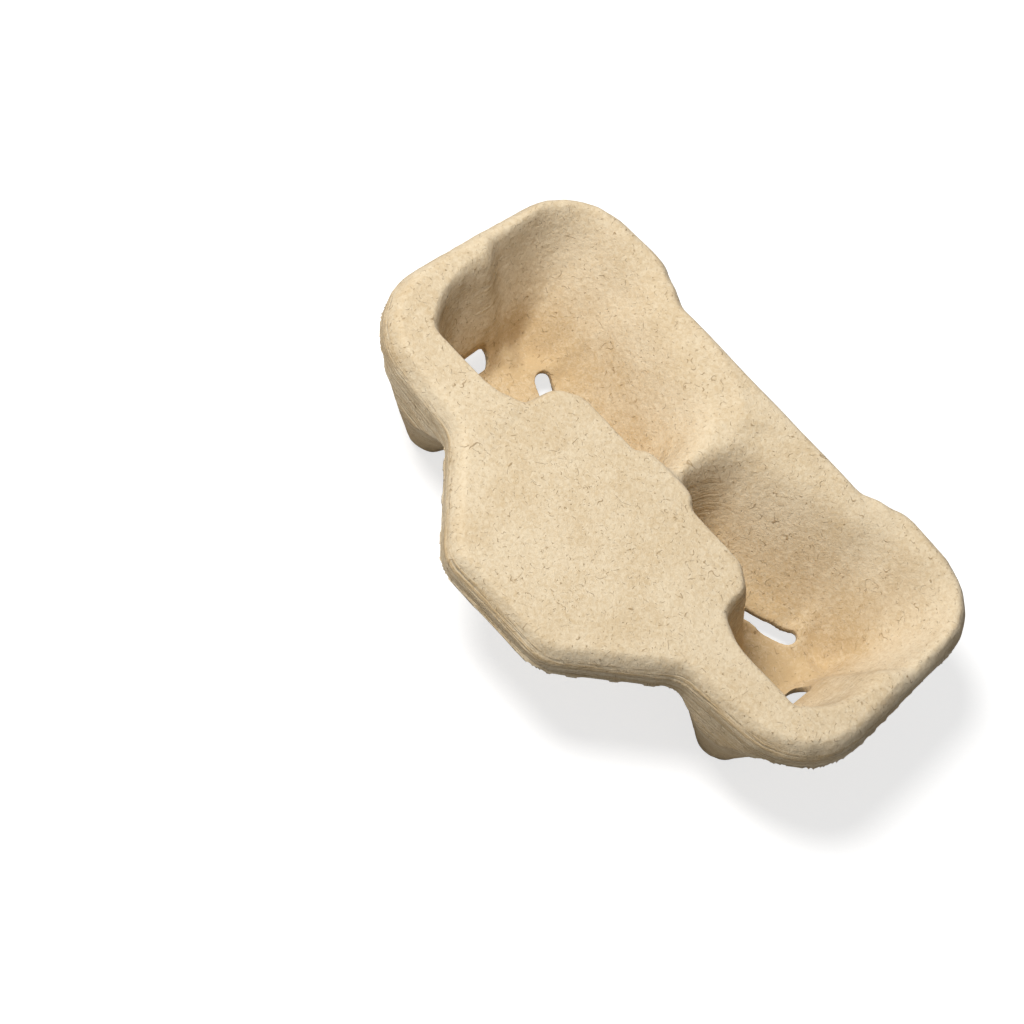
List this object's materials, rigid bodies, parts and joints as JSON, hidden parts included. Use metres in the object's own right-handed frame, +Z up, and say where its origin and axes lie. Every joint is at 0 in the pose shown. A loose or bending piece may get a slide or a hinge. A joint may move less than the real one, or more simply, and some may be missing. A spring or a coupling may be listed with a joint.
{
  "type": "cardboard cup carrier",
  "caption": "Moulded-pulp carrier with a drafted well at each end, a flat hand plate along one side and short feet.",
  "frame": {"origin": "centre of the footprint, on the surface the feet stand on", "axes": "+X along the carrier from well to well, -Y towards the hand plate, +Z up out of the wells"},
  "size_m": [0.225, 0.1488, 0.052],
  "materials": {
    "pulp": "uncoated moulded pulp with visible fibres"
  },
  "bodies": {
    "root": {"cup_carrier": "pulp"}
  },
  "joints": []
}
